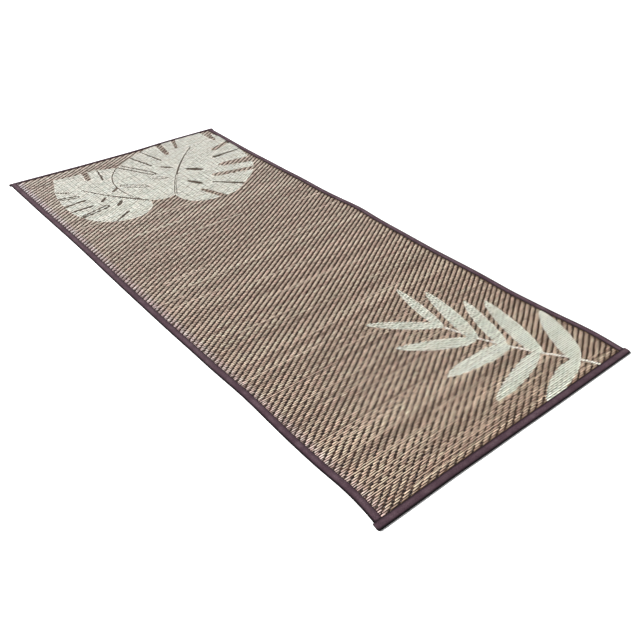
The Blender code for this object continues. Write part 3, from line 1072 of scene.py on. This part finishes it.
def cloth_material():
    """Plain woven cotton tape, mottled in patches, with painted shade along its fold and inner edge and a
    painted highlight where the cloth is loose.
    """
    paint = Paint("tape_cloth", 0.8)
    paint.shader.inputs["Specular IOR Level"].default_value = 0.08
    paint.shader.inputs["Sheen Weight"].default_value = 0.04
    paint.shader.inputs["Sheen Roughness"].default_value = 0.5
    thread = 4200.0
    warp = paint.node(
        "ShaderNodeTexWave", {"Vector": paint.place((thread, thread, 0.0)), "Scale": 0.16, "Distortion": 0.6},
        wave_type="BANDS", bands_direction="DIAGONAL",
    ).outputs["Fac"]
    fuzz = paint.noise((380.0, 380.0, 380.0), detail=3.0, roughness=0.7)
    wear_and_painted_light = paint.noise((40.0, 40.0, 40.0), detail=4.0)
    # Painted light from the attribute: lighter where the cloth is loose, and on the long tapes
    loose = paint.maths("MULTIPLY", paint.attribute("wear_and_painted_light"), 0.22)
    lightness = paint.maths("ADD", wear_and_painted_light, loose)
    colour = paint.ramp(
        lightness,
        [
            (0.30, (0.036, 0.0170, 0.0245)),
            (0.55, (0.043, 0.0230, 0.0310)),
            (0.75, (0.057, 0.0330, 0.0415)),
            (0.90, (0.074, 0.0460, 0.0560)),
        ],
    )
    shade = paint.maths("ADD", paint.spread(warp, 0.90, 1.08), paint.spread(fuzz, -0.34, 0.34))
    # Painted shade on the fold's round side, darkest halfway up it, below as on top
    height = paint.where("Z")
    height = paint.maths("MAXIMUM", height, paint.maths("SUBTRACT", TAPE_TOP, height))
    shade = paint.maths("MULTIPLY", shade, paint.ranged(height, 0.0032, 0.0044, 0.10, 1.0))
    # Painted shade at the fold and the inner edge, from the attribute
    shade = paint.maths("MULTIPLY", shade, paint.ranged(paint.attribute("wear_and_painted_light"), -1.0, 0.0, 0.15, 1.0))
    colour = paint.tinted(colour, paint.grey(shade))
    height = paint.maths("ADD", warp, paint.maths("MULTIPLY", fuzz, 0.8))
    return paint.finish(colour, paint.spread(fuzz, 0.92, 0.72), height, 0.5, 0.0002)


def thread_material():
    paint = Paint("seam_thread", 0.6)
    twist = paint.noise((2500.0, 2500.0, 2500.0), detail=2.0)
    colour = paint.ramp(twist, [(0.3, (0.014, 0.007, 0.010)), (0.7, (0.040, 0.022, 0.030))])
    return paint.finish(colour, paint.spread(twist, 0.5, 0.7), twist, 0.5, 0.0001)


def floor_material():
    paint = Paint("pale_floor", 0.9)
    tone = paint.ramp(paint.noise((3.0, 3.0, 3.0)), [(0.3, (0.93, 0.93, 0.93)), (0.7, (0.95, 0.95, 0.95))])
    return paint.finish(tone)


# Camera, light and floor

CAMERA_AT = (1.4836, -1.0523, 1.0912)
CAMERA_TURN = math.radians(51.25)
CAMERA_DOWN = math.radians(33.74)
LENS = 41.75
SHIFT = (0.0275, -0.0469)


def set_camera():
    data = bpy.data.cameras.new("photo_camera")
    data.lens = LENS
    data.sensor_width = 36.0
    data.shift_x, data.shift_y = SHIFT
    camera = bpy.data.objects.new("photo_camera", data)
    bpy.context.collection.objects.link(camera)
    forward = Vector(
        (
            -math.sin(CAMERA_TURN) * math.cos(CAMERA_DOWN),
            math.cos(CAMERA_TURN) * math.cos(CAMERA_DOWN),
            -math.sin(CAMERA_DOWN),
        )
    )
    right = Vector((math.cos(CAMERA_TURN), math.sin(CAMERA_TURN), 0.0))
    up = right.cross(forward)
    axes = Matrix((right, up, -forward)).transposed().to_4x4()
    camera.matrix_world = Matrix.Translation(CAMERA_AT) @ axes
    bpy.context.scene.camera = camera


def add_area_light(name, at, size, power):
    data = bpy.data.lights.new(name, "AREA")
    data.size = size
    data.energy = power
    light = bpy.data.objects.new(name, data)
    light.location = at
    light.rotation_euler = (-Vector(at)).to_track_quat("-Z", "Y").to_euler()
    bpy.context.collection.objects.link(light)


def set_stage():
    world = bpy.data.worlds.new("studio")
    world.use_nodes = True
    world.node_tree.nodes["Background"].inputs["Color"].default_value = (1.0, 1.0, 1.0, 1.0)
    world.node_tree.nodes["Background"].inputs["Strength"].default_value = 0.50
    bpy.context.scene.world = world
    bpy.context.scene.view_settings.view_transform = "Standard"
    add_area_light("window", (-9.0, -11.0, 13.0), 4.6, 8600.0)
    mesh = bpy.data.meshes.new("floor")
    signs = ((-1, -1), (1, -1), (1, 1), (-1, 1))
    mesh.from_pydata([(FLOOR_REACH * u, FLOOR_REACH * v, 0.0) for u, v in signs], [], [(0, 1, 2, 3)])
    mesh.materials.append(floor_material())
    floor = bpy.data.objects.new("floor", mesh)
    bpy.context.collection.objects.link(floor)


# Putting it together


def keep(piece, slot, *nodes):
    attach(piece, "root")
    if nodes:
        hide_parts(*nodes)
    return piece


def build_weave():
    rush = straw_material(
        "rush",
        [
            (0.0, (0.28, 0.21, 0.175)),
            (0.35, (0.57, 0.465, 0.395)),
            (0.62, (0.81, 0.69, 0.585)),
            (1.0, (1.0, 0.93, 0.79)),
        ],
        warm=(1.0, 0.92, 0.91),
        cool=(0.95, 0.985, 0.945),
        far=(0.75, 0.825, 0.91),
        near=(0.80, 0.75, 0.695),
        shade_tint=(1.0, 0.80, 0.66),
        shadow=0.14,
        mottle=0.24,
    )
    dark = straw_material(
        "dark_rush",
        [(0.0, (0.012, 0.007, 0.005)), (0.6, (0.030, 0.018, 0.012)), (1.0, (0.080, 0.050, 0.034))],
        warm=(1.0, 0.90, 0.86),
        cool=(0.92, 0.92, 0.90),
        far=(0.95, 0.97, 1.0),
        near=(1.0, 0.97, 0.94),
        shade_tint=(1.0, 0.90, 0.85),
        shadow=0.5,
        mottle=0.10,
    )
    lines = straw_material(
        "line_rush",
        [(0.0, (0.07, 0.058, 0.044)), (0.6, (0.16, 0.135, 0.104)), (1.0, (0.30, 0.26, 0.21))],
        warm=(1.0, 0.92, 0.90),
        cool=(0.93, 0.94, 0.95),
        far=(0.95, 0.97, 1.0),
        near=(1.0, 0.97, 0.94),
        shade_tint=(1.0, 0.95, 0.90),
        shadow=0.3,
        mottle=0.10,
    )
    pale = straw_material(
        "pale_rush",
        [(0.0, (0.66, 0.68, 0.60)), (0.5, (0.97, 0.97, 0.87)), (1.0, (1.0, 1.0, 0.96))],
        warm=(1.0, 0.97, 0.95),
        cool=(0.95, 0.99, 0.975),
        far=(0.83, 0.78, 0.81),
        near=(1.0, 0.985, 0.955),
        shade_tint=(0.93, 1.0, 0.975),
        shadow=0.25,
        mottle=0.28,
    )
    ground_piles, pale_pile, line_pile, float_pile = straws_and_floats()
    straws = [pile.finish(f"straws_{k + 1}", rush) for k, pile in enumerate(ground_piles)]
    pale_straws = pale_pile.finish("leaf_straws", pale)
    line_straws = line_pile.finish("leaf_line_straws", lines)
    floats = float_pile.finish("dark_floats", dark)
    strands = loose_strands(60).finish("loose_strands", rush)
    base = woven_base(base_material())
    keep(base, "woven_rush", "woven_panel")
    on_it = [*straws, pale_straws, line_straws, floats, strands]
    for piece in on_it:
        keep(piece, "woven_rush")


def along_side(sign):
    """Gives x and y of places along a long tape, at a distance in from the mat's side."""
    middle = (FAR_TAPE_WIDTH - TAPE_WIDTH) / 2

    def place(at, inward):
        return at + middle, np.full(at.shape, sign * (WIDTH / 2 - inward))

    return place


def along_end(sign):
    """The same for a short tape."""

    def place(at, inward):
        return np.full(at.shape, sign * (LENGTH / 2 - inward)), at

    return place


def build_tapes():
    cloth = cloth_material()
    thread = thread_material()
    long_size = LENGTH - TAPE_WIDTH - FAR_TAPE_WIDTH - 2 * GAP
    short_size = WIDTH + 2 * CORNER_OUT
    made = []
    for side, sign, seed in (("front", -1, 1), ("back", 1, 2)):
        tape = long_tape(f"tape_{side}", sign, cloth, seed)
        made.append((tape, side, TAPE_WIDTH, long_size, along_side(sign)))
    for side, sign, width, seed in (("far", -1, FAR_TAPE_WIDTH, 3), ("near", 1, TAPE_WIDTH, 4)):
        tape = short_tape(f"tape_{side}", sign, width, cloth, seed)
        made.append((tape, side, width, short_size, along_end(sign)))
    for tape, side, width, size, place in made:
        seam = stitches(f"stitches_{side}", size / 2 - SEAM_MARGIN, place, width, thread)
        keep(tape, "binding_cloth", f"binding_{side}")
        keep(seam, "binding_cloth")


set_camera()
set_stage()
build_weave()
build_tapes()
